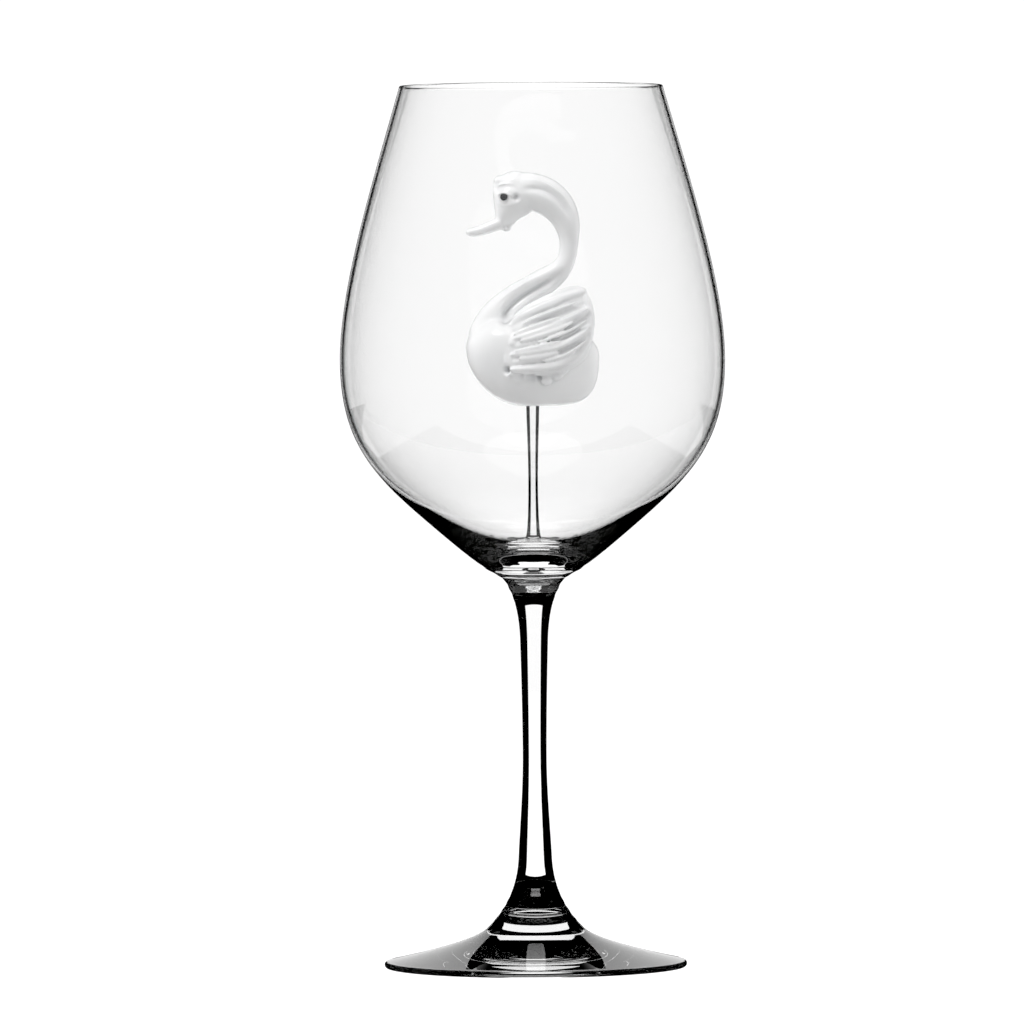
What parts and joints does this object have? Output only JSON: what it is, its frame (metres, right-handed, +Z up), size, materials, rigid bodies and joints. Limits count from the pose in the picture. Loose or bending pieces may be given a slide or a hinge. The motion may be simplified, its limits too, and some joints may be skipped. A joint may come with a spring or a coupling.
{
  "type": "wine glass",
  "caption": "Stemmed wine glass with a wide tapering bowl, a drawn stem and a disc foot, and a small glass swan standing on a slim rod inside the bowl.",
  "frame": {"origin": "on the table under the middle of the foot", "axes": "+Z up along the stem, -X the way the swan looks, -Y the side that shows the swan's left wing"},
  "size_m": [0.1048, 0.1048, 0.24],
  "materials": {
    "clear_glass": "fire-polished, clear",
    "swan_glass": "glossy, slightly milky",
    "eye_glass": "glossy, dark"
  },
  "bodies": {
    "root": {"bowl": "clear_glass", "stem": "clear_glass", "foot": "clear_glass", "figure_rod": "clear_glass", "swan_body": "swan_glass", "swan_neck": "swan_glass", "swan_head": "swan_glass", "swan_bill": "swan_glass", "swan_chin_bead": "swan_glass", "swan_left_eye": "eye_glass", "swan_right_eye": "eye_glass", "swan_left_wing": "swan_glass", "swan_right_wing": "swan_glass"}
  },
  "joints": []
}
